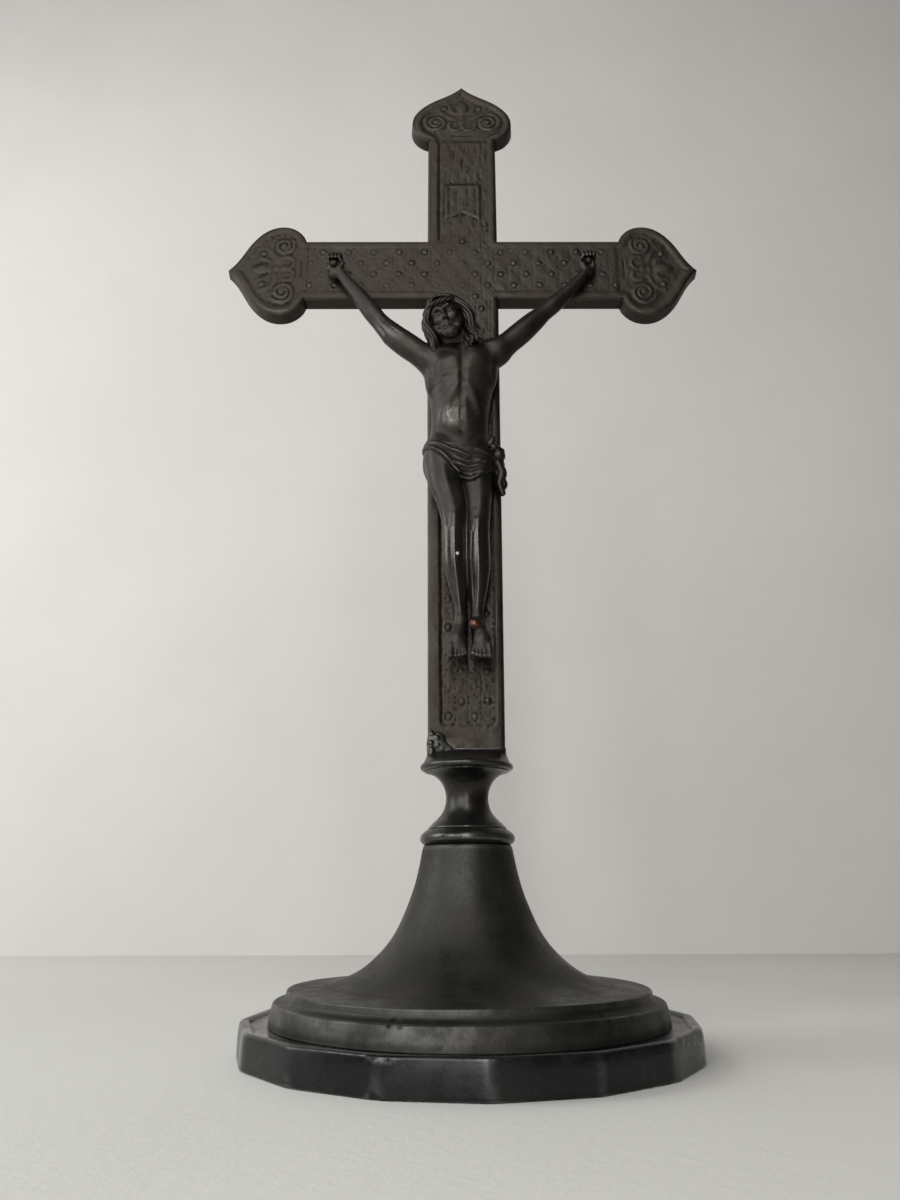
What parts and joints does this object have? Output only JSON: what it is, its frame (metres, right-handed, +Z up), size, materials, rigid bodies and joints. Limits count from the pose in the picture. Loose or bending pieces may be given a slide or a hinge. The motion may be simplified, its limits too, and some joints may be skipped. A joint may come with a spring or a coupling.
{
  "type": "table crucifix",
  "caption": "Standing altar cross: flat cast cross with ogee terminals and a nailed figure, on a turned neck, a belled foot and a faceted base ring.",
  "frame": {"origin": "middle of the flat underside that the foot stands on", "axes": "+Z up the cross, +X along the crossbar to the viewer's right, the figure faces -Y"},
  "size_m": [0.1826, 0.1372, 0.3651],
  "materials": {
    "foot_metal": "satin grey-brown patina, worn brighter on the edges",
    "cross_metal": "dull dark patina, warmer brown in the relief",
    "figure_metal": "dark patina, rubbed satin on the raised forms",
    "solder": "lumpy, shiny where it was wiped",
    "iron": "dull drawn iron with light rust",
    "copper": "tarnished copper, rubbed on the dome"
  },
  "bodies": {
    "root": {"foot_ring": "foot_metal", "bell_foot": "foot_metal", "clamp_plate": "iron", "rod_washer": "iron", "rod_nut": "iron", "tie_rod": "iron", "neck_bead": "foot_metal", "neck_spool": "foot_metal", "beam_seat": "foot_metal", "solder_repair": "solder", "cross_front": "cross_metal", "cross_back_plate": "cross_metal", "corpus": "figure_metal", "hand_nail_left": "figure_metal", "hand_nail_right": "figure_metal", "foot_nail": "copper"}
  },
  "joints": []
}
